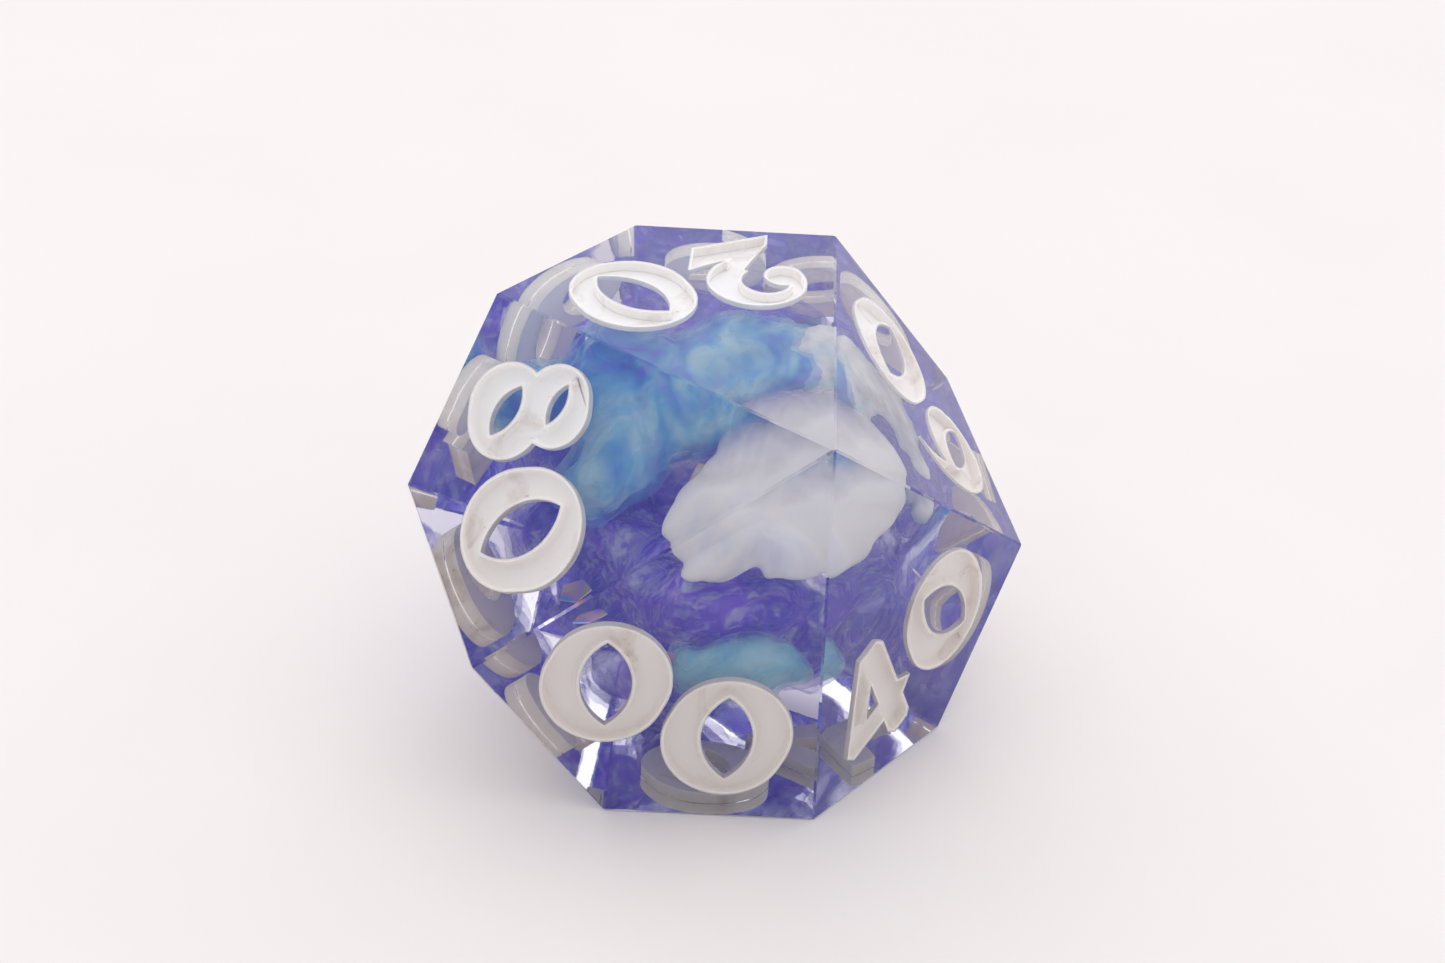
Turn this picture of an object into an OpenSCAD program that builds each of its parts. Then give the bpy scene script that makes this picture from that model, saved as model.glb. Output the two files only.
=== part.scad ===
// Percentile die: a clear cast-resin ten-sided die with engraved, inked tens
// numbers, and clouds of pigment set inside the resin.
// Millimetres, +Z up. The die lies on its "70" face, so its "20" face is level
// and on top. The origin is on the table, straight below the die's centre, and
// the tip where the five upper faces meet leans towards -Y.

/* [Body] */
// Distance between any two opposite faces
face_to_face = 16; // [13:0.5:30]
// Angle between the die's long axis and the normal of each face
face_tilt = 46.5; // [38:0.5:54]
// Width of the narrow flat polished along every edge
edge_flat = 0.12; // [0.04:0.02:0.3]

/* [Numbers] */
// Clear border between a number and the edges of its face
number_border = 1; // [0.6:0.1:1.6]
// Gap between the two figures of a number
figure_gap = 0.35; // [0.2:0.05:0.6]
// Depth of the engraved figures
recess_depth = 0.5; // [0.3:0.05:0.8]
// Thickness of the ink that lines each engraved figure
ink_thickness = 0.1; // [0.05:0.01:0.14]
// How far the rim of the ink lies below the face
ink_setback = 0.03; // [0.01:0.01:0.1]

/* [Pigment] */
// Least clear resin between the floor of a figure and anything set in the resin
clear_skin = 0.4; // [0.2:0.1:1]
// Depth of the top of the white bloom below the leaning tip
bloom_depth = 5.2; // [4.8:0.1:7]
// Clear resin between one pigment and the next
pigment_gap = 0.15; // [0.05:0.05:0.4]
// Radius of the dome that the white bloom follows
bloom_dome = 9; // [7:0.5:14]
// Thickness of the white bloom
bloom_thickness = 1.2; // [0.6:0.1:1.6]
// Thickness of the iridescent film flakes
flake_thickness = 0.05; // [0.03:0.01:0.1]

/* [Hidden] */
$fn = 64;

// Tens figure on each face: the five upper faces counter-clockwise round the
// leaning tip, then the face opposite each of them, so opposite tens make nine.
TENS = [2, 8, 0, 4, 6, 7, 1, 9, 5, 3];
faces_per_end = 5;
face_turn = 360 / faces_per_end;

// Distances from the centre and corners of one kite-shaped face, in the face's
// own plane: x to the right, y towards the tip, from the foot of its normal.
half_width = face_to_face / 2;
belt_radius = face_to_face / (sin(face_tilt) * (1 + cos(face_turn / 2)));
belt_height = (belt_radius * sin(face_tilt) - half_width) / cos(face_tilt);
kite_tip_y = half_width * tan(face_tilt);
kite_side_x = belt_radius * sin(face_turn / 2);
kite_side_y = belt_height * sin(face_tilt) - belt_radius * cos(face_turn / 2) * cos(face_tilt);
kite_tail_y = -belt_radius * cos(face_tilt) - belt_height * sin(face_tilt);

// Half the angle between the normals that meet at each kind of edge, and the
// lean of a slab that flattens an edge running to a tip.
tip_edge_half_angle = acos(norm([sin(face_tilt) * cos(face_turn / 2), cos(face_tilt)]));
belt_edge_half_angle = acos(sin(face_tilt) * cos(face_turn / 4));
tip_edge_lean = atan2(sin(face_tilt) * cos(face_turn / 2), cos(face_tilt));

// Figures are drawn at this height, each about its own centre, then scaled to
// the largest size that keeps the border clear on all four edges of the kite.
drawn_height = 5.2;
zero_width = 4.7;
FIGURE_WIDTHS = [zero_width, 2.6, 4.2, 3.6, 4.3, 3.7, 3.9, 4, 3.8, 3.9];
stress_tilt = 25;
shoulder_normal = unit([kite_tip_y - kite_side_y, kite_side_x]);
tail_normal = unit([kite_side_y - kite_tail_y, -kite_side_x]);
shoulder_room = kite_tip_y * shoulder_normal.y - number_border - figure_gap / 2 * shoulder_normal.x;
tail_room = kite_tail_y * tail_normal.y - number_border - figure_gap / 2 * tail_normal.x;
shoulder_reach = zero_width / 2 * shoulder_normal.x + ellipse_reach(shoulder_normal);
tail_reach = zero_width / 2 * tail_normal.x + ellipse_reach(tail_normal);
figure_scale = (shoulder_room / shoulder_normal.y - tail_room / tail_normal.y)
             / (shoulder_reach / shoulder_normal.y - tail_reach / tail_normal.y);
number_y = (shoulder_room - figure_scale * shoulder_reach) / shoulder_normal.y;

// Clear of the figures on every face: what is set in the resin stays in here.
room_inset = recess_depth + clear_skin;
tip_height = half_width / cos(face_tilt);
overlap = 1;

// Pigment and film are laid out in a die of this size and tilt. They spread out
// and grow with the die, and move with its leaning tip.
laid_out_face_to_face = 16;
laid_out_tilt = 46.5;
spread = face_to_face / laid_out_face_to_face;
tip_shift = tip_height - face_to_face / 2 / cos(laid_out_tilt);

// Round lobes of each cloud, as [x, y, z, radius] about the die's centre, with
// z along the long axis and x towards the upper "20" face.
BLOOM_LOBES = [[-1.5, 4, 1.05], [-0.9, 2.4, 1.5], [-0.7, 0.2, 2.4], [-0.6, -2.2, 1.9], [-0.4, -3.6, 1.2]];
CYAN_LOBES = [[3.4, 2.2, 2.8, 1.9], [1.6, 5, 2.4, 1.5], [4.4, -0.8, 2.5, 1.8], [3, 0.6, 1.4, 1.7],
              [3.6, -3, 2.5, 1.3]];
TEAL_LOBES = [[-5.4, 2, 1.6, 1.1], [-5.9, 0.3, 1.8, 1.2], [-5.2, -1.8, 1.4, 1.2]];
VIOLET_LOBES = [[-2.6, 2.8, 2.2, 1.6], [-2.8, -0.1, 2.1, 1.6], [-0.9, 4.1, 1.2, 1.3]];
INDIGO_LOBES = [[0, -0.3, -3, 3.4], [-3, 2.6, -1.9, 2.2], [3.6, -3, -1.6, 2.5], [-3.2, -3.2, -1.2, 2.1],
                [3, 3.6, -2.5, 2]];

// Film flakes as [x, y, z, radius, lean, turn]; each is a five-sided scrap.
FLAKES = [[-2.2, 6.4, 1.2, 0.7, 60, 20], [-4.6, 4.6, 2.2, 0.6, 75, 150], [1.2, -5.6, 1.4, 0.8, 50, 250],
          [-3.2, -5.4, 1.8, 0.6, 70, 310], [0.2, 0.4, 2.6, 0.9, 20, 80]];
flake_sides = 5;

function unit(v) = v / norm(v);

// How far an ellipse the size of a drawn zero reaches along a unit direction.
function ellipse_reach(direction) =
    norm([direction.x * zero_width / 2, direction.y * drawn_height / 2]);

// A polygon, listed counter-clockwise, with every side moved out by grow.
function grown(points, grow) = [
    for (i = [0 : len(points) - 1])
        let (last = points[(i + len(points) - 1) % len(points)],
             here = points[i],
             next = points[(i + 1) % len(points)],
             before = unit([here.y - last.y, last.x - here.x]),
             after = unit([next.y - here.y, here.x - next.x]))
        here + grow * (before + after) / (1 + before * after)];

// ---- Placing ----

// Turns the die's long axis from +Z to its lean when the "70" face is down.
module lay_on_face() {
    translate([0, 0, half_width]) rotate([0, 0, 90]) rotate([0, -face_tilt, 0]) children();
}

// Faces 0 to 4 are round the leaning tip; face 5 is opposite face 0, and so on.
module on_face(face) {
    upper = face < faces_per_end;
    turn = face_turn * (upper ? face : face - faces_per_end) + (upper ? 0 : 180);
    lay_on_face()
        rotate([0, 0, turn])
        rotate([upper ? 0 : 180, 0, 0])
        rotate([0, face_tilt, 0])
        translate([0, 0, half_width])
        rotate([0, 0, 90])
        children();
}

// ---- Body ----

module slab(thickness) {
    cube([4 * face_to_face, 4 * face_to_face, thickness], center = true);
}

// The ten faces, each moved in by inset; opposite faces share one slab.
module ten_faces(inset = 0) {
    intersection_for (i = [0 : faces_per_end - 1])
        rotate([0, 0, face_turn * i]) rotate([0, face_tilt, 0]) slab(face_to_face - 2 * inset);
}

// Distance from the centre to the flat on an edge with this half angle.
function edge_flat_distance(half_angle) =
    half_width / cos(half_angle) - edge_flat / 2 * tan(half_angle);

module edge_flats() {
    intersection_for (i = [0 : faces_per_end - 1])
        rotate([0, 0, face_turn * (i + 0.5)]) rotate([0, tip_edge_lean, 0])
            slab(2 * edge_flat_distance(tip_edge_half_angle));
}

module belt_flats() {
    intersection_for (i = [0 : faces_per_end - 1])
        rotate([0, 0, face_turn / 2 * (i + 0.5)]) rotate([0, 90, 0])
            slab(2 * edge_flat_distance(belt_edge_half_angle));
}

module resin_body() {
    color("lightsteelblue", 0.5)
    difference() {
        lay_on_face() intersection() {
            ten_faces();
            edge_flats();
            belt_flats();
        }
        for (face = [0 : 2 * faces_per_end - 1])
            on_face(face) translate([0, 0, -recess_depth])
                linear_extrude(recess_depth + overlap) number_outline(TENS[face], 0);
        white_bloom();
        cyan_cloud();
        teal_cloud();
        violet_cloud();
        indigo_cloud();
        film_flakes();
    }
}

// ---- Figures ----

module shape(points, grow) {
    polygon(grown(points, grow));
}

// A round-ended oval, longer one way than the other.
module oval(width, height, grow) {
    r = min(width, height) / 2;
    along_x = width / 2 - r;
    along_y = height / 2 - r;
    for (side = [-1, 1])
        translate([side * along_x, side * along_y]) circle(r + grow);
    square(along_x > 0 ? [2 * along_x, 2 * (r + grow)] : [2 * (r + grow), 2 * along_y], center = true);
}

// A pointed almond of two arcs, leaning left at its top.
module almond(length, width, grow, tilt = stress_tilt) {
    r = (pow(length, 2) + pow(width, 2)) / (4 * width);
    rotate(tilt) intersection_for (side = [-1, 1])
        translate([side * (r - width / 2), 0]) circle(r + grow);
}

module zero(grow) {
    difference() {
        oval(zero_width, drawn_height, grow);
        almond(3.65, 1.95, -grow);
    }
}

module one(grow) {
    shape([[-1.2, -2.6], [1.2, -2.6], [1.1, -2.1], [0.65, -1.9], [0.65, 2.6], [-0.35, 2.6],
           [-1.3, 1.7], [-1, 1.2], [-0.6, 1.4], [-0.6, -1.9], [-1.1, -2.1]], grow);
}

module two(grow) {
    difference() {
        translate([-0.1, 0.65]) circle(1.95 + grow);
        translate([-0.45, 0.75]) circle(0.95 - grow);
        shape([[-0.4, 0.6], [-2.8, 0.6], [-2.8, -2], [0.6, -2]], -grow);
    }
    translate([-1.27, 0.62]) circle(0.78 + grow);
    shape([[-2.1, -2.6], [1.2, -2.6], [2.1, -0.95], [1.35, -1.12], [0.3, -1.25], [0.9, -0.6],
           [1.2, 0.3], [0.48, 0.5], [0.25, -0.05], [-0.55, -0.85], [-1.75, -1.9]], grow);
}

module three(grow) {
    difference() {
        union() {
            translate([0, 1.15]) oval(3.1, 2.9, grow);
            translate([0, -0.95]) oval(3.6, 3.3, grow);
        }
        translate([-0.2, 1.2]) circle(0.6 - grow);
        translate([-0.15, -0.95]) circle(0.7 - grow);
        shape([[-2.2, 1.8], [-2.2, 0.1], [-0.9, 0.1], [-0.3, 0.7], [-0.3, 1.5]], -grow);
        shape([[-2.3, 0.12], [-2.3, -1.5], [-0.3, -1.4], [-0.3, -0.4], [-0.9, 0.12]], -grow);
    }
    translate([-1.05, 1.75]) circle(0.55 + grow);
    translate([-1.2, -1.6]) circle(0.6 + grow);
}

module four(grow) {
    difference() {
        shape([[0.45, -2.6], [1.25, -2.6], [1.5, -2.3], [1.5, -1.25], [2.15, -0.8], [1.5, -0.35],
               [1.5, 2.2], [1.2, 2.6], [0.1, 2.6], [-2.15, -1], [-1.85, -1.45], [0.15, -1.45],
               [0.15, -2.2]], grow);
        shape([[-0.6, -0.35], [0.2, -0.35], [0.2, 0.9]], -grow);
    }
}

module five(grow) {
    difference() {
        union() {
            translate([0, -0.9]) oval(3.7, 3.4, grow);
            shape([[-1.5, -0.2], [-0.4, 0.2], [-0.4, 1.5], [1.3, 1.5], [1.85, 2.6], [-1.5, 2.6]], grow);
        }
        translate([-0.15, -0.9]) circle(0.75 - grow);
        shape([[-2.4, -0.3], [-2.4, -1.5], [-0.3, -1.4], [-0.3, -0.4]], -grow);
    }
    translate([-1.2, -1.6]) circle(0.6 + grow);
}

module six(grow) {
    difference() {
        union() {
            translate([0, -0.65]) circle(1.95 + grow);
            intersection() {
                difference() {
                    translate([1.31, -0.65]) circle(3.26 + grow);
                    translate([2.05, 0.3]) circle(2.45 - grow);
                }
                translate([-3, -0.65]) square([4.5, 4]);
            }
        }
        translate([0, -0.65]) almond(2.6, 1.3, -grow);
    }
}

module seven(grow) {
    shape([[-0.9, -2.6], [0.35, -2.6], [2, 2.1], [1.7, 2.6], [-1.7, 2.6], [-2, 1.1], [-1.5, 1.35],
           [0.45, 1.5]], grow);
}

module eight(grow) {
    difference() {
        union() {
            translate([0, 1.15]) oval(3.25, 2.9, grow);
            translate([0, -0.95]) oval(3.8, 3.3, grow);
        }
        translate([-0.05, 1.25]) almond(1.7, 0.65, -grow, 60);
        translate([0, -0.95]) almond(2.2, 1, -grow, 55);
    }
}

module nine(grow) {
    rotate(180) six(grow);
}

module figure(value, grow) {
    if (value == 0) zero(grow);
    if (value == 1) one(grow);
    if (value == 2) two(grow);
    if (value == 3) three(grow);
    if (value == 4) four(grow);
    if (value == 5) five(grow);
    if (value == 6) six(grow);
    if (value == 7) seven(grow);
    if (value == 8) eight(grow);
    if (value == 9) nine(grow);
}

// The tens figure and its zero, centred on the kite with figure_gap between.
module number_outline(tens, grow) {
    tens_width = FIGURE_WIDTHS[tens] * figure_scale;
    units_width = zero_width * figure_scale;
    left = -(tens_width + figure_gap + units_width) / 2;
    centres = [left + tens_width / 2, left + tens_width + figure_gap + units_width / 2];
    for (i = [0, 1])
        translate([centres[i], number_y])
            scale(figure_scale) figure(i == 0 ? tens : 0, grow / figure_scale);
}

// Ink on the floor and walls of one engraved number, open towards the face.
module number_ink(face) {
    color("ivory")
    on_face(face) difference() {
        translate([0, 0, -recess_depth])
            linear_extrude(recess_depth - ink_setback) number_outline(TENS[face], 0);
        translate([0, 0, -recess_depth + ink_thickness])
            linear_extrude(recess_depth) number_outline(TENS[face], -ink_thickness);
    }
}

// ---- Pigment and film set in the resin ----

module in_resin() {
    lay_on_face() intersection() {
        ten_faces(room_inset);
        children();
    }
}

module lobes(list, grow = 0) {
    for (lobe = list)
        translate(spread * [lobe[0], lobe[1], lobe[2]] + [0, 0, tip_shift])
            sphere(spread * lobe[3] + grow);
}

// Each pigment is cut clear of the ones named before it, which are grown by the
// gap for that, so a wall of resin stands between any two.
module bloom_solid(grow = 0) {
    translate([0, 0, tip_height - bloom_depth])
    intersection() {
        translate([0, 0, -bloom_dome]) difference() {
            sphere(bloom_dome + grow);
            sphere(bloom_dome - bloom_thickness - grow);
        }
        translate([0, 0, -bloom_dome])
            linear_extrude(bloom_dome + overlap)
                for (lobe = BLOOM_LOBES)
                    translate(spread * [lobe[0], lobe[1]]) circle(spread * lobe[2] + grow);
    }
}

module flake_solids(grow = 0) {
    for (flake = FLAKES)
        translate(spread * [flake[0], flake[1], flake[2]] + [0, 0, tip_shift])
            rotate([0, flake[4], flake[5]])
            cylinder(h = flake_thickness + 2 * grow, r = spread * flake[3] + grow, center = true,
                     $fn = flake_sides);
}

module white_bloom() {
    color("white") in_resin() bloom_solid();
}

module film_flakes() {
    color("plum") in_resin() difference() {
        flake_solids();
        bloom_solid(pigment_gap);
    }
}

module cyan_cloud() {
    color("skyblue") in_resin() difference() {
        lobes(CYAN_LOBES);
        bloom_solid(pigment_gap);
        flake_solids(pigment_gap);
    }
}

module teal_cloud() {
    color("lightseagreen") in_resin() difference() {
        lobes(TEAL_LOBES);
        bloom_solid(pigment_gap);
        flake_solids(pigment_gap);
        lobes(CYAN_LOBES, pigment_gap);
    }
}

module violet_cloud() {
    color("mediumpurple") in_resin() difference() {
        lobes(VIOLET_LOBES);
        bloom_solid(pigment_gap);
        flake_solids(pigment_gap);
        lobes(concat(CYAN_LOBES, TEAL_LOBES), pigment_gap);
    }
}

module indigo_cloud() {
    color("slateblue") in_resin() difference() {
        lobes(INDIGO_LOBES);
        bloom_solid(pigment_gap);
        flake_solids(pigment_gap);
        lobes(concat(CYAN_LOBES, TEAL_LOBES, VIOLET_LOBES), pigment_gap);
    }
}

resin_body();
number_ink(0);  // number_20
number_ink(1);  // number_80
number_ink(2);  // number_00
number_ink(3);  // number_40
number_ink(4);  // number_60
number_ink(5);  // number_70
number_ink(6);  // number_10
number_ink(7);  // number_90
number_ink(8);  // number_50
number_ink(9);  // number_30
white_bloom();
cyan_cloud();
teal_cloud();
violet_cloud();
indigo_cloud();
film_flakes();
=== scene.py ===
"""Looks of a clear cast-resin percentile die, laid out as an add-on and run as a script.

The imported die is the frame: the resin shell and the ink are finished copies of its nodes, and the
pigment and film inside are modelled here, in the places that the frame gives them.
"""
import math

import bmesh
import bpy
from mathutils import Matrix, Vector, noise


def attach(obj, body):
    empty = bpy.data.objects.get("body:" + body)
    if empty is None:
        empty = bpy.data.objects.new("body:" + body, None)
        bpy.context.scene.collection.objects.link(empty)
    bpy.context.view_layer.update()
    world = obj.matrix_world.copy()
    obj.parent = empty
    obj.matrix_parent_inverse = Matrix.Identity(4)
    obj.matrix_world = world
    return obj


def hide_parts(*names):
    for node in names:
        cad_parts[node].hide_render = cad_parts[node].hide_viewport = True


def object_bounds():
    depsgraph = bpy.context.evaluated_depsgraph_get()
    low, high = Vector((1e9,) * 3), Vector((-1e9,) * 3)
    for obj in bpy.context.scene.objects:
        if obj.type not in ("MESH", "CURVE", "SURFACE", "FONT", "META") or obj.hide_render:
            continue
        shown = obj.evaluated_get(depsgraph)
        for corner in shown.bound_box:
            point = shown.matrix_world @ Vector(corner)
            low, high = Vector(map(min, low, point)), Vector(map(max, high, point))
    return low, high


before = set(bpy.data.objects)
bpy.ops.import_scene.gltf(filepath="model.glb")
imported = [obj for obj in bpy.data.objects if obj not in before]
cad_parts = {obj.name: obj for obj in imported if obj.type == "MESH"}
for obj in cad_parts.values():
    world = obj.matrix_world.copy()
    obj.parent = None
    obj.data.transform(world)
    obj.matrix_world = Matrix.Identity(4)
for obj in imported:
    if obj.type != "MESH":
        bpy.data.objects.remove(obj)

bl_info = {
    "name": "Percentile die",
    "version": (1, 0, 0),
    "blender": (4, 5, 0),
    "location": "View3D > Sidebar > Die",
    "description": "Builds a clear resin percentile die with inked numbers and pigment inside",
    "category": "Add Mesh",
}

CAD_LOW, CAD_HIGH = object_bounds()
MM = 0.001
MERGE_DISTANCE = 1e-7

# The die's own axes: +Z from its centre to the leaning tip, +X towards the "20" face, in mm.
FACE_TILT = math.radians(46.5)
DIE_CENTRE = Vector((0, 0, (CAD_LOW.z + CAD_HIGH.z) / 2))
LAY_ON_FACE = (Matrix.Translation(DIE_CENTRE) @ Matrix.Rotation(math.radians(90), 4, "Z")
               @ Matrix.Rotation(-FACE_TILT, 4, "Y") @ Matrix.Scale(MM, 4))
FACES = 10
FACE_STEP = math.radians(360 / FACES)
# The die's own +X as it lies, which is the way towards its "20" side.
TOWARDS_20 = Vector((0, math.cos(FACE_TILT), math.sin(FACE_TILT)))


# ---- Properties -----------------------------------------------------------------------------

def colour(name, description, default):
    return bpy.props.FloatVectorProperty(
        name=name, description=description, default=default, subtype="COLOR", size=3, min=0, max=1)


def length(name, description, default):
    return bpy.props.FloatProperty(
        name=name, description=description, default=default, unit="LENGTH", subtype="DISTANCE", min=0)


def number(name, description, default):
    return bpy.props.FloatProperty(name=name, description=description, default=default, min=0)


class ResinSettings(bpy.types.PropertyGroup):
    tint: colour("Tint", "What a long path through the resin leaves of white light", (0.42, 0.40, 0.86))
    density: number("Density", "How fast the tint deepens, per metre", 18)
    ior: number("IOR", "Refractive index of the resin", 1.5)


class InkSettings(bpy.types.PropertyGroup):
    clean: colour("Clean", "Clean ink", (0.96, 0.93, 0.92))
    # Besides the dirt, this colour is also the painted shade on the lower numbers.
    grime_and_shade: colour("Grime", "Dirt rubbed into the ink", (0.40, 0.31, 0.25))
    bite: length("Bite", "How far the ink sinks into the resin around it", 0.008 * MM)
    fillet: length("Fillet", "Ink that gathers where the floor meets the wall", 0.22 * MM)


class PigmentSettings(bpy.types.PropertyGroup):
    white: colour("White", "White bloom", (0.985, 0.98, 1.0))
    fold: colour("Fold", "White bloom where it thins into a fold", (0.80, 0.82, 0.99))
    cyan: colour("Cyan", "Cyan swirls", (0.20, 0.64, 1.0))
    blue: colour("Blue", "Blue between the cyan swirls", (0.08, 0.34, 0.95))
    light: colour("Light", "Lightest smoke in the cyan swirls", (0.60, 0.91, 1.0))
    teal: colour("Teal", "Teal swirls", (0.44, 0.85, 0.98))
    violet: colour("Violet", "Violet clouds", (0.30, 0.14, 1.0))
    indigo: colour("Indigo", "Indigo clouds", (0.12, 0.14, 0.85))
    # Pale pearly pigment streaks, painted bright as a painted sheen of the pigment's sparkle.
    pearl_sheen: colour("Pearl", "Pearly streaks in the dark clouds", (0.80, 0.90, 1.0))


class StageSettings(bpy.types.PropertyGroup):
    floor: colour("Floor", "Pale table", (0.90, 0.865, 0.862))
    lens: number("Lens", "Focal length in mm", 71.16)


class DieSettings(bpy.types.PropertyGroup):
    resin: bpy.props.PointerProperty(type=ResinSettings)
    ink: bpy.props.PointerProperty(type=InkSettings)
    pigment: bpy.props.PointerProperty(type=PigmentSettings)
    stage: bpy.props.PointerProperty(type=StageSettings)


def settings():
    return bpy.context.scene.percentile_die


# ---- Material helpers -----------------------------------------------------------------------

# The Mix node's two colours, and its mixed colour, go by number because their names repeat.
MIX_FIRST = 6
MIX_SECOND = 7
MIX_RESULT = 2


class Finish:
    """One material, with short ways to add nodes to it."""

    def __init__(self, name):
        self.material = bpy.data.materials.new(name)
        self.material.use_nodes = True
        self.tree = self.material.node_tree
        self.tree.nodes.clear()
        self.output = self.tree.nodes.new("ShaderNodeOutputMaterial")

    def add(self, kind, inputs, **options):
        """A node with its options set, and each input given a value or linked to an output."""
        node = self.tree.nodes.new(kind)
        for key, value in options.items():
            setattr(node, key, value)
        for key, value in inputs.items():
            if isinstance(value, bpy.types.NodeSocket):
                self.tree.links.new(value, node.inputs[key])
            else:
                node.inputs[key].default_value = value
        return node

    def place(self, stretch=(1, 1, 1), turn=(0, 0, 0)):
        here = self.add("ShaderNodeTexCoord", {}).outputs["Object"]
        return self.add("ShaderNodeMapping", {
            "Vector": here, "Scale": stretch, "Rotation": turn}).outputs["Vector"]

    def noise(self, scale, detail=3.0, distortion=0.0, roughness=0.5, vector=None):
        return self.add("ShaderNodeTexNoise", {
            "Vector": vector or self.place(), "Scale": scale, "Detail": detail,
            "Distortion": distortion, "Roughness": roughness}).outputs["Fac"]

    def ramp(self, factor, stops):
        """A ramp through stops, each a position and either a grey or a colour."""
        node = self.add("ShaderNodeValToRGB", {"Fac": factor})
        elements = node.color_ramp.elements
        while len(elements) < len(stops):
            elements.new(0.5)
        for element, (position, shade) in zip(elements, stops):
            element.position = position
            element.color = (*shade, 1) if hasattr(shade, "__len__") else (shade, shade, shade, 1)
        return node.outputs["Color"]

    def blend(self, factor, first, second):
        return self.add("ShaderNodeMix", {
            MIX_FIRST: first, MIX_SECOND: second, "Factor": factor}, data_type="RGBA").outputs[MIX_RESULT]

    def maths(self, operation, *values):
        return self.add("ShaderNodeMath", dict(enumerate(values)), operation=operation).outputs[0]

    def bump(self, height, strength, distance):
        return self.add("ShaderNodeBump", {
            "Height": height, "Strength": strength, "Distance": distance}).outputs["Normal"]

    def towards_20(self):
        """Distance from the die's centre towards its "20" side, square to the die's long axis."""
        here = self.add("ShaderNodeTexCoord", {}).outputs["Object"]
        centred = self.add("ShaderNodeVectorMath", {
            0: here, 1: DIE_CENTRE}, operation="SUBTRACT").outputs["Vector"]
        return self.add("ShaderNodeVectorMath", {
            0: centred, 1: TOWARDS_20}, operation="DOT_PRODUCT").outputs["Value"]

    def span(self, value, low, high):
        """Where a value lies between two others, from 0 to 1."""
        return self.add("ShaderNodeMapRange", {
            "Value": value, "From Min": low, "From Max": high}).outputs["Result"]

    def veiled(self, cover, shader):
        """A surface that is clear where cover is 0."""
        clear = self.add("ShaderNodeBsdfTransparent", {})
        self.surface(self.add("ShaderNodeMixShader", {0: cover, 1: clear.outputs[0], 2: shader.outputs[0]}))

    def surface(self, shader):
        self.tree.links.new(shader.outputs[0], self.output.inputs["Surface"])

    def volume(self, shader):
        self.tree.links.new(shader.outputs[0], self.output.inputs["Volume"])


def solid(shade):
    """A colour as a socket takes it, with full alpha."""
    return (*shade, 1)


# ---- Mesh helpers ---------------------------------------------------------------------------

LOBES_IN_ROW = 4
# The grain at which lobes run together, in mm, and how often the skin is then smoothed.
VOXEL = 0.14
SMOOTHINGS = 8
# The eddies lie somewhere new each run unless their seed is set.
EDDY_SEED = 1
# Eddies and puffs are in layers. Each layer of puffs is finer than the last by PUFF_FINENESS, and
# weaker the more PUFF_FADE is.
EDDY_LAYERS = 2
PUFF_FADE = 0.9
PUFF_FINENESS = 2.0
PUFF_LAYERS = 4
# A skin has this much room under each face, in mm from the die's centre. PRESS is the share of what
# is past it that is taken back.
ROOM = 7.0
PRESS = 0.85


def finished_piece(name, bm, material, node, smooth):
    """Makes a bmesh, in metres, an object of the die's one body that stands for a frame node."""
    mesh = bpy.data.meshes.new(name)
    for face in bm.faces:
        face.smooth = smooth
    bm.to_mesh(mesh)
    bm.free()
    mesh.materials.append(material)
    piece = bpy.data.objects.new(name, mesh)
    bpy.context.scene.collection.objects.link(piece)
    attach(piece, "root")
    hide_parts(node)
    return piece


def merged_copy(node):
    """A bmesh copy of a frame node, with its doubled corners merged."""
    bm = bmesh.new()
    bm.from_mesh(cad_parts[node].data)
    bmesh.ops.remove_doubles(bm, verts=bm.verts, dist=MERGE_DISTANCE)
    return bm


def shells(bm):
    """The separate closed skins of a bmesh, each as a set of vertices."""
    left, found = set(bm.verts), []
    while left:
        todo = [left.pop()]
        shell = set(todo)
        while todo:
            here = todo.pop()
            near = {edge.other_vert(here) for edge in here.link_edges} & left
            left -= near
            shell |= near
            todo.extend(near)
        found.append(shell)
    return found


def row_of_lobes(bm, start, end, start_radius, end_radius):
    """Adds round lobes in a tapering row, in the die's own axes and mm."""
    for i in range(LOBES_IN_ROW):
        t = i / (LOBES_IN_ROW - 1)
        place = Matrix.Translation(Vector(start).lerp(Vector(end), t))
        radius = start_radius + (end_radius - start_radius) * t
        bmesh.ops.create_icosphere(bm, subdivisions=3, radius=radius, matrix=place)


def melted(bm):
    """Runs overlapping lobes together into one skin."""
    mesh = bpy.data.meshes.new("melt")
    bm.to_mesh(mesh)
    bm.free()
    lump = bpy.data.objects.new("melt", mesh)
    bpy.context.scene.collection.objects.link(lump)
    remesh = lump.modifiers.new("melt", "REMESH")
    remesh.mode = "VOXEL"
    remesh.voxel_size = VOXEL
    soften = lump.modifiers.new("soften", "SMOOTH")
    soften.iterations = SMOOTHINGS
    result = bmesh.new()
    result.from_object(lump, bpy.context.evaluated_depsgraph_get())
    bpy.data.objects.remove(lump)
    bpy.data.meshes.remove(mesh)
    return result


def curl(bm, reach, size, puff, puff_size):
    """Stirs a skin with slow eddies, then puffs it up unevenly."""
    noise.seed_set(EDDY_SEED)
    for vert in bm.verts:
        vert.co += reach * noise.turbulence_vector(vert.co / size, EDDY_LAYERS, False)
    bm.normal_update()
    moves = [vert.normal * puff * noise.fractal(vert.co / puff_size, PUFF_FADE, PUFF_FINENESS, PUFF_LAYERS)
             for vert in bm.verts]
    for vert, move in zip(bm.verts, moves):
        vert.co += move


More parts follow.
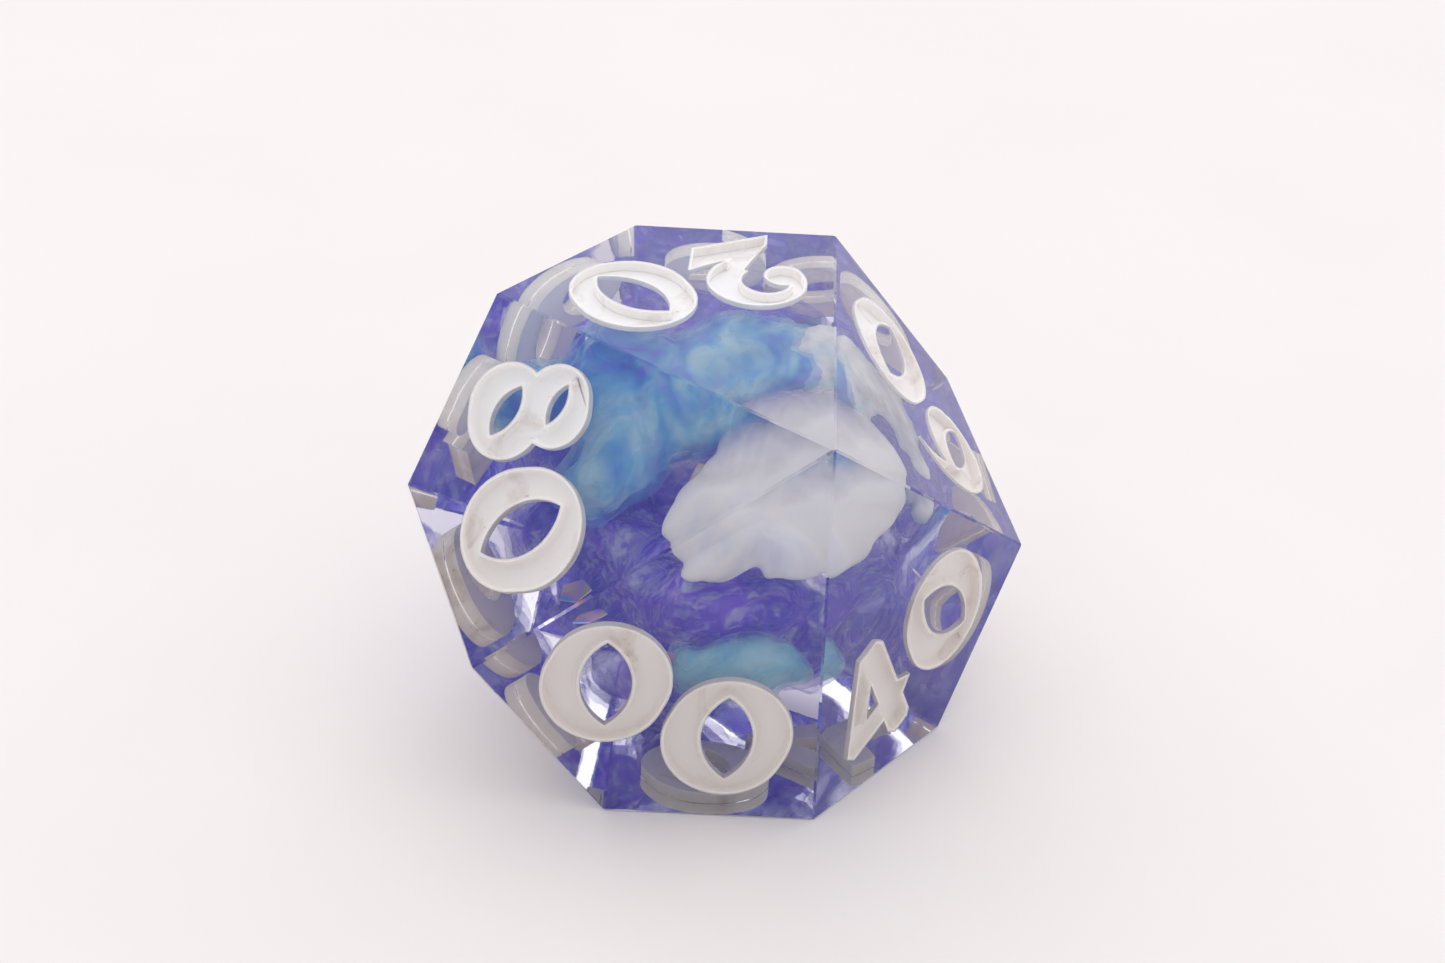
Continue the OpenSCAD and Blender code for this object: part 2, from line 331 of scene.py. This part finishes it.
def keep_inside(bm):
    """Presses a skin, in the die's own axes and mm, back from the clear resin under each face."""
    normals = []
    for face in range(FACES):
        end = (1, -1)[face % 2]
        square = Vector((math.sin(FACE_TILT), 0, end * math.cos(FACE_TILT)))
        normals.append(Matrix.Rotation(face * FACE_STEP, 3, "Z") @ square)
    for vert in bm.verts:
        for normal in normals:
            past = vert.co.dot(normal) - ROOM
            if past > 0:
                vert.co -= PRESS * past * normal


def laid(bm):
    """Moves a bmesh from the die's own axes and mm to where the die lies, in metres."""
    bmesh.ops.transform(bm, matrix=LAY_ON_FACE, verts=bm.verts)
    bm.normal_update()
    return bm


# ---- Resin ----------------------------------------------------------------------------------

def resin_finish(resin):
    finish = Finish("clear_resin")
    polish = finish.ramp(finish.noise(scale=900, detail=6, distortion=0.4), [(0.45, 0.0), (0.75, 1.0)])
    finish.surface(finish.add("ShaderNodeBsdfPrincipled", {
        "Base Color": (1, 1, 1, 1), "Roughness": 0.0, "IOR": resin.ior, "Transmission Weight": 1.0,
        "Normal": finish.bump(polish, strength=0.05, distance=0.02 * MM)}))
    finish.volume(finish.add("ShaderNodeVolumeAbsorption", {
        "Color": solid(resin.tint), "Density": resin.density}))
    return finish.material


class DIE_OT_resin(bpy.types.Operator):
    """Resin body with its engraved figures, without the hollows that the pigment fills"""
    bl_idname = "die.resin"
    bl_label = "Resin body"

    def execute(self, context):
        bm = merged_copy("resin_body")
        skins = shells(bm)
        outside = max(skins, key=lambda skin: max(vert.co.z for vert in skin))
        hollows = [vert for skin in skins if skin is not outside for vert in skin]
        bmesh.ops.delete(bm, geom=hollows, context="VERTS")
        finished_piece("clear_resin_body", bm, resin_finish(settings().resin), "resin_body", False)
        return {"FINISHED"}


# ---- Ink ------------------------------------------------------------------------------------

NUMBERS = ("20", "80", "00", "40", "60", "70", "10", "90", "50", "30")
# Faces that bend less than this become one.
FLAT_ANGLE = math.radians(1)
# An edge is a corner of the floor if it bends more than this and lies this nearly level with the face.
CORNER_ANGLE = 1.0
LEVEL = 0.1
FILLET_STEPS = 4
# The most that a corner moves out, against a flat stretch.
SHARPEST_CORNER = 1.8
SHARP_EDGE = math.radians(35)
# Painted shade: numbers below the first height are painted darker than those above the second, standing in
# for the lower faces getting less light.
LOW_SHADE_FROM = 6 * MM
LOW_SHADE_TO = 14 * MM
LOW_PAINTED_SHADE = 0.3
SMUDGE_GRIME = 0.35


def ink_finish(ink):
    finish = Finish("matte_ink")
    smudge = finish.noise(scale=380, detail=5, distortion=1.2, roughness=0.6)
    smudge = finish.ramp(smudge, [(0.54, 0.0), (0.72, 1.0)])
    specks = finish.ramp(finish.noise(scale=5200, detail=2), [(0.66, 0.0), (0.74, 1.0)])
    dirt = finish.maths("MULTIPLY_ADD", smudge, SMUDGE_GRIME, finish.maths("MULTIPLY", smudge, specks))
    # Painted shade: the lower a number sits, the more of the grime colour is blended in, darkening the lower
    # faces as if shaded.
    height = finish.add("ShaderNodeSeparateXYZ", {0: finish.place()}).outputs["Z"]
    painted_low_shade = finish.ramp(finish.span(height, LOW_SHADE_FROM, LOW_SHADE_TO), [(0.0, LOW_PAINTED_SHADE), (1.0, 0.0)])
    tone = finish.blend(finish.maths("ADD", dirt, painted_low_shade), solid(ink.clean), solid(ink.grime_and_shade))
    grain = finish.bump(finish.noise(scale=9000, detail=4), strength=0.25, distance=0.01 * MM)
    finish.surface(finish.add("ShaderNodeBsdfPrincipled", {
        "Base Color": tone, "Roughness": 0.75, "Normal": grain,
        "Subsurface Weight": 0.7, "Subsurface Radius": (1.0, 0.9, 0.85), "Subsurface Scale": 0.25 * MM}))
    return finish.material


def face_normal(bm):
    """The way an inked number faces: away from the die's centre, square to its floor."""
    areas = {}
    for face in bm.faces:
        way = tuple(round(part, 2) for part in face.normal)
        areas[way] = areas.get(way, 0) + face.calc_area()
    flat = Vector(max(areas, key=areas.get))
    middle = sum((vert.co for vert in bm.verts), Vector()) / len(bm.verts)
    return flat if flat.dot(middle - DIE_CENTRE) > 0 else -flat


def floor_corners(bm):
    """The inner edges of an inked number, where its floor meets its walls."""
    out = face_normal(bm)
    corners = []
    for edge in bm.edges:
        if edge.is_manifold and not edge.is_convex and edge.calc_face_angle() > CORNER_ANGLE:
            along = (edge.verts[1].co - edge.verts[0].co).normalized()
            if abs(along.dot(out)) < LEVEL:
                corners.append(edge)
    return corners


class DIE_OT_ink(bpy.types.Operator):
    """Ink lining of every engraved number, gathered in its corners and bedded in the resin"""
    bl_idname = "die.ink"
    bl_label = "Inked numbers"

    def execute(self, context):
        ink = settings().ink
        material = ink_finish(ink)
        for tens in NUMBERS:
            node = "number_" + tens
            bm = merged_copy(node)
            bm.normal_update()
            bmesh.ops.dissolve_limit(bm, angle_limit=FLAT_ANGLE, verts=bm.verts, edges=bm.edges)
            bm.normal_update()
            bmesh.ops.bevel(bm, geom=floor_corners(bm), offset=ink.fillet, segments=FILLET_STEPS,
                            profile=0.5, affect="EDGES", material=-1, clamp_overlap=True)
            bmesh.ops.triangulate(bm, faces=[face for face in bm.faces if len(face.verts) > 4])
            bm.normal_update()
            moves = [vert.normal * min(vert.calc_shell_factor(), SHARPEST_CORNER) * ink.bite
                     for vert in bm.verts]
            for vert, move in zip(bm.verts, moves):
                vert.co += move
            piece = finished_piece("ink_" + tens, bm, material, node, True)
            piece.data.set_sharp_from_angle(angle=SHARP_EDGE)
        return {"FINISHED"}


# ---- White bloom ----------------------------------------------------------------------------

# The bloom, in the die's own axes and mm. Its outline round its middle is (degrees, mm): fingers where
# it reaches out, folds between.
BLOOM_MIDDLE = Vector((-0.5, 0.2))
BLOOM_OUTLINE = [(2, 2.6), (32, 2.25), (60, 2.45), (82, 3.2), (97, 3.9), (106, 3.6), (113, 4.05), (122, 3.6),
                 (146, 2.15), (166, 2.35), (203, 2.7), (240, 3.3), (260, 4.1), (268, 4.5), (291, 3.9),
                 (323, 3.0)]
# Folds in the bloom as (degrees, width in degrees, depth in mm at the rim).
BLOOM_FOLDS = [(72, 8, 0.35), (105, 5, 0.5), (136, 8, 0.7), (163, 6, 0.3), (222, 14, 0.35), (258, 7, 0.3)]
BLOOM_TOP = 6.42
BLOOM_DOME = 9.0
BLOOM_HALF_THICKNESS = 0.55
BLOOM_RIM_BLUNTNESS = 0.7
# Ruffles are a share of the bloom's reach, and waves are mm of height. Each has its own rate.
RUFFLE = 0.05
RUFFLE_RATE = 3
WAVE = 0.35
WAVE_RATE = 0.6
# Distance towards the "20" side between which the bloom fades out, and how ragged that is.
FADE_FROM = 0.7 * MM
FADE_TO = 2.9 * MM
FADE_RAGGED = 1.6 * MM

# Haze that the bloom fades into, as rows of lobes: (start, end, start radius, end radius).
HAZE_HEART = (3.2, -3.8, 3.4)
HAZE_BEND = (2.4, -5.3, 2.6)
HAZE_ROWS = [
    ((2.2, -2.6, 4.2), HAZE_HEART, 0.8, 1.6),
    (HAZE_HEART, HAZE_BEND, 1.6, 1.2),
    (HAZE_BEND, (-0.4, -5.6, 2.4), 1.1, 0.7),
]


def bloom_reach(angle):
    """Distance from the bloom's middle to its outline at an angle in degrees, smoothly between points."""
    angles = [point[0] for point in BLOOM_OUTLINE]
    after = next((i for i, a in enumerate(angles) if a > angle % 360), 0)
    count = len(BLOOM_OUTLINE)
    before = [BLOOM_OUTLINE[(after + step) % count] for step in (-2, -1, 0, 1)]
    start, end = before[1], before[2]
    t = ((angle - start[0]) % 360) / ((end[0] - start[0]) % 360)
    a, b, c, d = (point[1] for point in before)
    return b + t * ((c - a) + t * ((2 * a - 5 * b + 4 * c - d) + t * (3 * (b - c) + d - a))) / 2


def bloom_finish(pigment):
    finish = Finish("white_pigment")
    streak = finish.noise(scale=260, detail=3, distortion=0.8)
    tone = finish.ramp(streak, [(0.30, pigment.fold), (0.48, pigment.white)])
    tatter = finish.noise(scale=300, detail=4, distortion=1.0)
    ragged = finish.maths("MULTIPLY_ADD", tatter, FADE_RAGGED, finish.towards_20())
    cover = finish.ramp(finish.span(ragged, FADE_FROM, FADE_TO), [(0.0, 1.0), (1.0, 0.0)])
    finish.veiled(cover, finish.add("ShaderNodeBsdfPrincipled", {
        "Base Color": tone, "Roughness": 0.5, "Subsurface Weight": 0.5,
        "Subsurface Radius": (0.9, 0.95, 1.0), "Subsurface Scale": 0.6 * MM}))
    return finish.material


def haze_finish(pigment):
    finish = Finish("white_haze")
    streak = finish.noise(scale=200, detail=3, distortion=1.5)
    tone = finish.ramp(streak, [(0.35, pigment.light), (0.55, pigment.white)])
    cover = finish.ramp(finish.noise(scale=260, detail=3, distortion=1.2), [(0.34, 0.5), (0.60, 0.95)])
    finish.veiled(cover, finish.add("ShaderNodeBsdfPrincipled", {"Base Color": tone, "Roughness": 0.5}))
    return finish.material


def petal():
    """The bloom as a ball pulled out to its outline, flattened, domed, folded and waved."""
    bm = bmesh.new()
    bmesh.ops.create_icosphere(bm, subdivisions=7, radius=1)
    for vert in bm.verts:
        angle = math.atan2(vert.co.y, vert.co.x)
        out = math.hypot(vert.co.x, vert.co.y)
        around = Vector((math.cos(angle), math.sin(angle)))
        ruffle = RUFFLE * noise.noise(Vector((*(RUFFLE_RATE * around), 0)))
        spot = BLOOM_MIDDLE + around * (bloom_reach(math.degrees(angle)) * (1 + ruffle)) * out
        drop = BLOOM_DOME - math.sqrt(BLOOM_DOME ** 2 - spot.length_squared)
        fold = sum(depth * math.exp(-((math.degrees(angle) % 360 - middle) / width) ** 2)
                   for middle, width, depth in BLOOM_FOLDS)
        wave = WAVE * noise.noise(Vector((*(WAVE_RATE * spot), 0)))
        thick = math.copysign(abs(vert.co.z) ** BLOOM_RIM_BLUNTNESS, vert.co.z) * BLOOM_HALF_THICKNESS
        top = BLOOM_TOP - BLOOM_HALF_THICKNESS - drop
        vert.co = Vector((*spot, top + thick + wave - out ** 3 * fold))
    return laid(bm)


def haze():
    """The thin pigment that the bloom fades into."""
    bm = bmesh.new()
    for row in HAZE_ROWS:
        row_of_lobes(bm, *row)
    bm = melted(bm)
    curl(bm, reach=0.3, size=2.4, puff=0.4, puff_size=1.6)
    keep_inside(bm)
    return laid(bm)


class DIE_OT_bloom(bpy.types.Operator):
    """White pigment bloom: a drooping petal with folded fingers, under the leaning tip"""
    bl_idname = "die.bloom"
    bl_label = "White bloom"

    def execute(self, context):
        pigment = settings().pigment
        finished_piece("white_petal", petal(), bloom_finish(pigment), "white_bloom", True)
        finished_piece("white_haze", haze(), haze_finish(pigment), "white_bloom", True)
        return {"FINISHED"}


# ---- Pigment clouds -------------------------------------------------------------------------

# Rows of lobes as (start, end, start radius, end radius), in the die's own axes and mm.
CYAN_HEART = (3.4, 2.2, 2.8)
CYAN_BEND = (4.4, -0.8, 2.5)
CYAN_FOOT = (5.0, 4.8, 0.8)
CYAN_CREST = (2.4, 0.0, 4.0)
CYAN_ROWS = [
    (CYAN_HEART, (1.6, 5.0, 2.4), 1.9, 1.5),
    (CYAN_HEART, CYAN_BEND, 1.9, 1.8),
    (CYAN_BEND, (3.6, -3.0, 2.5), 1.8, 1.3),
    (CYAN_HEART, (3.0, 0.6, 1.4), 1.8, 1.7),
    (CYAN_HEART, CYAN_FOOT, 1.9, 1.6),
    (CYAN_HEART, (6.0, 3.2, 1.6), 1.9, 1.3),
    (CYAN_FOOT, (5.6, 6.2, -0.7), 1.5, 1.2),
    (CYAN_HEART, CYAN_CREST, 1.9, 1.1),
    (CYAN_CREST, (2.8, -2.2, 3.8), 1.1, 1.2),
]
TEAL_HEART = (-5.5, 1.7, 2.0)
TEAL_ROWS = [
    ((-5.0, 3.4, 1.8), TEAL_HEART, 1.0, 1.1),
    (TEAL_HEART, (-5.3, -0.4, 1.8), 1.1, 1.0),
]
VIOLET_HEART = (-2.6, 2.8, 2.2)
VIOLET_ROWS = [
    (VIOLET_HEART, (-2.8, -0.1, 2.1), 1.5, 1.5),
    (VIOLET_HEART, (-0.9, 4.1, 1.2), 1.4, 1.2),
]
INDIGO_HEART = (0, -0.3, -3.0)
INDIGO_LEFT = (-3.0, 2.6, -1.9)
INDIGO_RIGHT = (3.6, -3.0, -1.6)
INDIGO_LOW = (-2.0, 0.4, -6.4)
INDIGO_ROWS = [
    (INDIGO_HEART, INDIGO_LEFT, 3.2, 2.2),
    (INDIGO_HEART, INDIGO_RIGHT, 3.2, 2.4),
    (INDIGO_HEART, (-3.2, -3.2, -1.2), 3.2, 2.1),
    (INDIGO_HEART, (3.0, 3.6, -2.5), 3.2, 2.0),
    (INDIGO_HEART, (0.4, 4.6, -3.2), 3.0, 1.7),
    (INDIGO_LEFT, (-3.4, 4.2, -2.4), 2.0, 1.6),
    (INDIGO_LEFT, (-5.0, 2.0, -3.0), 2.0, 1.2),
    (INDIGO_RIGHT, (0.2, -5.0, 0.6), 2.0, 1.3),
    (INDIGO_HEART, (1.2, -3.6, -4.6), 3.0, 1.8),
    (INDIGO_HEART, (-3.0, -4.0, -4.2), 3.0, 1.6),
    (INDIGO_HEART, (3.2, 0.6, -4.8), 3.0, 1.6),
    (INDIGO_HEART, (0.3, 2.2, -5.8), 3.0, 1.8),
    (INDIGO_HEART, INDIGO_LOW, 3.0, 1.6),
    (INDIGO_HEART, (-0.3, -0.9, -8.0), 3.0, 1.5),
    (INDIGO_LOW, (-4.8, 1.3, -4.8), 1.6, 1.3),
]

# Each cloud is three skins of the same pigment, as (name, how much larger than its lobes, share of cover).
SKINS = [("core", 0.72, 1.0), ("body", 0.95, 0.6), ("veil", 1.16, 0.35)]
# How far the core is stirred, how much more each skin outside it is, and the eddies' and puffs' sizes,
# all in mm.
CORE_STIR = 0.25
SKIN_STIR = 0.1
EDDY_SIZE = 2.4
PUFF_SIZE = 2.2
# How the pearly streaks, painted bright as a painted sheen, are drawn out and turned.
STREAK_STRETCH = (1.0, 2.6, 1.4)
STREAK_TURN = (0.4, 0.3, 0.6)


def cloud_finish(name, tones, thin, thick, pearl_sheen=None):
    """Pigment stirred into the resin: dense in patches, and thinning to clear between them."""
    finish = Finish(name)
    tone = finish.ramp(finish.noise(scale=240, detail=4, distortion=2.4), tones)
    # Pale pearly streaks of pigment, painted bright as a painted sheen.
    if pearl_sheen:
        flow = finish.place(STREAK_STRETCH, STREAK_TURN)
        streaks = finish.noise(scale=420, detail=5, distortion=2.2, roughness=0.62, vector=flow)
        painted_shimmer = finish.ramp(streaks, [(0.50, 0.0), (0.61, 0.95)])
        tone = finish.blend(painted_shimmer, tone, solid(pearl_sheen))
    patches = finish.noise(scale=230, detail=4, distortion=2.0)
    cover = finish.ramp(patches, [(0.36, thin), (0.64, thick)])
    finish.veiled(cover, finish.add("ShaderNodeBsdfPrincipled", {"Base Color": tone, "Roughness": 0.45}))
    return finish.material


def add_cloud(node, rows, tones, cover, puff, pearl_sheen=None):
    """Adds a cloud: a dense core inside thinner and thinner skins of the same pigment."""
    for skin, (part, grow, share) in enumerate(SKINS):
        bm = bmesh.new()
        for start, end, start_radius, end_radius in rows:
            row_of_lobes(bm, start, end, grow * start_radius, grow * end_radius)
        bm = melted(bm)
        curl(bm, CORE_STIR + SKIN_STIR * skin, EDDY_SIZE, puff * grow, PUFF_SIZE)
        keep_inside(bm)
        name = node + "_" + part
        thin, thick = cover
        material = cloud_finish(name, tones, thin * share, thick * share, pearl_sheen)
        finished_piece(name, laid(bm), material, node, True)


class DIE_OT_cyan(bpy.types.Operator):
    """Cyan and teal clouds: milky swirls under the upper faces and in the front of the die"""
    bl_idname = "die.cyan"
    bl_label = "Cyan and teal clouds"

    def execute(self, context):
        pigment = settings().pigment
        smoke = [(0.32, pigment.violet), (0.40, pigment.blue), (0.48, pigment.cyan), (0.58, pigment.light)]
        green = [(0.34, pigment.cyan), (0.44, pigment.teal), (0.60, pigment.light)]
        add_cloud("cyan_cloud", CYAN_ROWS, smoke, cover=(0.6, 1.0), puff=0.35)
        add_cloud("teal_cloud", TEAL_ROWS, green, cover=(0.7, 1.0), puff=0.3)
        return {"FINISHED"}


class DIE_OT_dark(bpy.types.Operator):
    """Violet and indigo clouds: pearly streaks painted bright as a painted sheen, and thinning to clear at
    their edges
    """
    bl_idname = "die.dark"
    bl_label = "Violet and indigo clouds"

    def execute(self, context):
        pigment = settings().pigment
        purple = [(0.36, pigment.indigo), (0.56, pigment.violet)]
        deep = [(0.42, pigment.indigo), (0.62, pigment.violet)]
        pearl_sheen = pigment.pearl_sheen
        add_cloud("violet_cloud", VIOLET_ROWS, purple, cover=(0.3, 1.0), puff=0.4, pearl_sheen=pearl_sheen)
        add_cloud("indigo_cloud", INDIGO_ROWS, deep, cover=(0.2, 0.95), puff=0.5, pearl_sheen=pearl_sheen)
        return {"FINISHED"}


# ---- Film -----------------------------------------------------------------------------------

FILM_BLUE = (0.45, 0.60, 1.0)
FILM_PINK = (1.0, 0.55, 0.88)
FILM_GOLD = (1.0, 0.82, 0.50)
FILM_SILVER = (0.95, 0.95, 1.0)


def film_finish():
    finish = Finish("iridescent_film")
    rainbow = finish.ramp(finish.noise(scale=700, detail=2, distortion=1.0), [
        (0.34, FILM_BLUE), (0.45, FILM_PINK), (0.56, FILM_GOLD), (0.68, FILM_SILVER)])
    finish.surface(finish.add("ShaderNodeBsdfPrincipled", {
        "Base Color": rainbow, "Roughness": 0.15, "Metallic": 0.7}))
    return finish.material


class DIE_OT_film(bpy.types.Operator):
    """Scraps of iridescent film"""
    bl_idname = "die.film"
    bl_label = "Film flakes"

    def execute(self, context):
        finished_piece("film_scraps", merged_copy("film_flakes"), film_finish(), "film_flakes", False)
        return {"FINISHED"}


# ---- Stage ----------------------------------------------------------------------------------

FLOOR_HALF_WIDTH = 3.0
# The film of air under a die on a table keeps its lowest face a mirror from within.
FLOOR_GAP = 0.02 * MM
FLOOR_MOTTLE = 0.985
# Soft light, brightest from one way. The aims are cosines of the angle to that way.
LIGHT_FROM = Vector((0.30, 0.70, 0.65)).normalized()
DIMMEST_AIM = -0.2
BRIGHTEST_AIM = 1.0
DIM = 0.66
BRIGHT = 1.39
STUDIO_WHITE = (1.0, 0.985, 0.985)
# Light crosses many skins and mirrors inside the die.
CLEAR_BOUNCES = 24
DIFFUSE_BOUNCES = 8
SENSOR_WIDTH = 36
NEAREST = 5 * MM
CAMERA_PLACE = Vector((-41.41, -82.07, 68.65)) * MM
CAMERA_AZIMUTH = math.radians(-116.73)
CAMERA_ELEVATION = math.radians(32.74)
CAMERA_ROLL = math.radians(3.71)


def floor_finish(stage):
    finish = Finish("pale_table")
    shaded = tuple(part * FLOOR_MOTTLE for part in stage.floor)
    mottle = finish.ramp(finish.noise(scale=60, detail=4), [(0.4, shaded), (0.6, tuple(stage.floor))])
    finish.surface(finish.add("ShaderNodeBsdfPrincipled", {"Base Color": mottle, "Roughness": 0.7}))
    return finish.material


def lay_floor(scene, stage):
    bm = bmesh.new()
    bmesh.ops.create_grid(bm, x_segments=1, y_segments=1, size=FLOOR_HALF_WIDTH)
    bmesh.ops.translate(bm, verts=bm.verts, vec=(0, 0, -FLOOR_GAP))
    mesh = bpy.data.meshes.new("floor")
    bm.to_mesh(mesh)
    bm.free()
    mesh.materials.append(floor_finish(stage))
    floor = bpy.data.objects.new("floor", mesh)
    scene.collection.objects.link(floor)


def light_studio(scene):
    world = bpy.data.worlds.new("studio")
    world.use_nodes = True
    nodes, links = world.node_tree.nodes, world.node_tree.links
    way = nodes.new("ShaderNodeTexCoord")
    aim = nodes.new("ShaderNodeVectorMath")
    aim.operation = "DOT_PRODUCT"
    aim.inputs[1].default_value = LIGHT_FROM
    glow = nodes.new("ShaderNodeMapRange")
    glow.interpolation_type = "SMOOTHSTEP"
    glow.inputs["From Min"].default_value = DIMMEST_AIM
    glow.inputs["From Max"].default_value = BRIGHTEST_AIM
    glow.inputs["To Min"].default_value = DIM
    glow.inputs["To Max"].default_value = BRIGHT
    links.new(way.outputs["Generated"], aim.inputs[0])
    links.new(aim.outputs["Value"], glow.inputs["Value"])
    links.new(glow.outputs["Result"], nodes["Background"].inputs["Strength"])
    nodes["Background"].inputs["Color"].default_value = solid(STUDIO_WHITE)
    scene.world = world
    scene.view_settings.view_transform = "Standard"
    scene.cycles.max_bounces = CLEAR_BOUNCES
    scene.cycles.transmission_bounces = CLEAR_BOUNCES
    scene.cycles.glossy_bounces = CLEAR_BOUNCES
    scene.cycles.transparent_max_bounces = CLEAR_BOUNCES
    scene.cycles.diffuse_bounces = DIFFUSE_BOUNCES


def set_camera(scene, stage):
    camera = bpy.data.cameras.new("camera")
    camera.lens = stage.lens
    camera.sensor_width = SENSOR_WIDTH
    camera.clip_start = NEAREST
    eye = bpy.data.objects.new("camera", camera)
    quarter = math.pi / 2
    eye.matrix_world = (Matrix.Translation(CAMERA_PLACE) @ Matrix.Rotation(CAMERA_AZIMUTH + quarter, 4, "Z")
                        @ Matrix.Rotation(quarter - CAMERA_ELEVATION, 4, "X")
                        @ Matrix.Rotation(CAMERA_ROLL, 4, "Z"))
    scene.collection.objects.link(eye)
    scene.camera = eye


class DIE_OT_stage(bpy.types.Operator):
    """Pale floor, soft studio light and the camera"""
    bl_idname = "die.stage"
    bl_label = "Stage"

    def execute(self, context):
        stage = settings().stage
        lay_floor(context.scene, stage)
        light_studio(context.scene)
        set_camera(context.scene, stage)
        return {"FINISHED"}


OPERATORS = (DIE_OT_resin, DIE_OT_ink, DIE_OT_bloom, DIE_OT_cyan, DIE_OT_dark, DIE_OT_film, DIE_OT_stage)


class DIE_PT_pieces(bpy.types.Panel):
    """Lists the die's pieces"""
    bl_idname = "DIE_PT_pieces"
    bl_label = "Percentile die"
    bl_space_type = "VIEW_3D"
    bl_region_type = "UI"
    bl_category = "Die"

    def draw(self, context):
        for operator in OPERATORS:
            self.layout.operator(operator.bl_idname)


CLASSES = (ResinSettings, InkSettings, PigmentSettings, StageSettings, DieSettings, *OPERATORS, DIE_PT_pieces)


def register():
    for cls in CLASSES:
        bpy.utils.register_class(cls)
    bpy.types.Scene.percentile_die = bpy.props.PointerProperty(type=DieSettings)


def unregister():
    del bpy.types.Scene.percentile_die
    for cls in reversed(CLASSES):
        bpy.utils.unregister_class(cls)


def main():
    register()
    bpy.ops.die.resin()
    bpy.ops.die.ink()
    bpy.ops.die.bloom()
    bpy.ops.die.cyan()
    bpy.ops.die.dark()
    bpy.ops.die.film()
    bpy.ops.die.stage()


if __name__ == "__main__":
    main()
